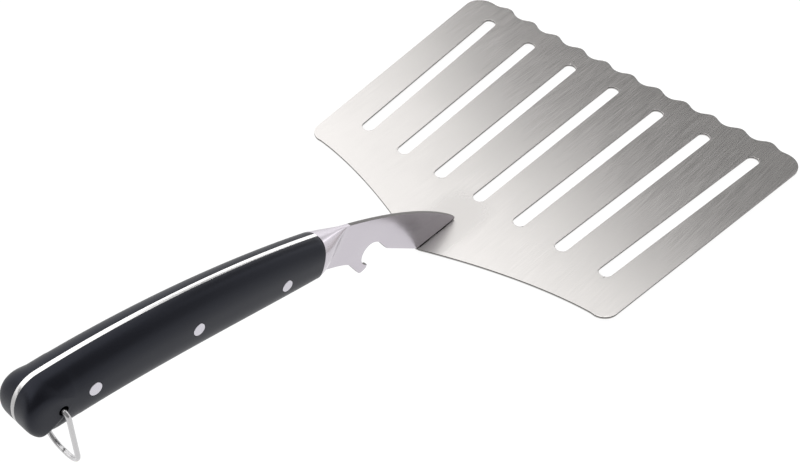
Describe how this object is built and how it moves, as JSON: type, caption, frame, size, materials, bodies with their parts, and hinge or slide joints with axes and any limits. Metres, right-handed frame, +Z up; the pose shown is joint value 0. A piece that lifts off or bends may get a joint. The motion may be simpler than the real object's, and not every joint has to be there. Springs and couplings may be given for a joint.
{
  "type": "grill spatula",
  "caption": "Wide slotted grill turner with scalloped front edge, raked knife-style handle, bottle-opener notch in the neck and a hanging ring.",
  "frame": {"origin": "middle of the bounding box in X and Y, on the flat underside of the blade", "axes": "+X from the grip towards the scalloped front edge, +Y towards the left edge of the blade as the user holds it, +Z up out of the blade's upper face"},
  "size_m": [0.3584, 0.1992, 0.0833],
  "materials": {
    "blade_steel": "finely brushed satin",
    "neck_steel": "satin, ground",
    "weld_steel": "ground weld",
    "grip_polymer": "satin, ground flush with the tang",
    "rivet_steel": "ground flush",
    "ring_wire": "bright drawn wire"
  },
  "bodies": {
    "turner": {"blade": "blade_steel", "neck_tang": "neck_steel", "weld_rear": "weld_steel", "weld_front": "weld_steel", "scale_left": "grip_polymer", "scale_right": "grip_polymer", "rivet_front_tube": "rivet_steel", "rivet_front_pin": "rivet_steel", "rivet_middle_tube": "rivet_steel", "rivet_middle_pin": "rivet_steel", "rivet_rear_tube": "rivet_steel", "rivet_rear_pin": "rivet_steel"},
    "ring": {"hang_ring": "ring_wire"}
  },
  "joints": [
    {"name": "ring_swing", "type": "hinge", "parent": "turner", "child": "ring", "pos_m": [-0.167, 0, 0.07042], "axis": [0, 1, 0], "range_deg": [-48, 225]}
  ]
}
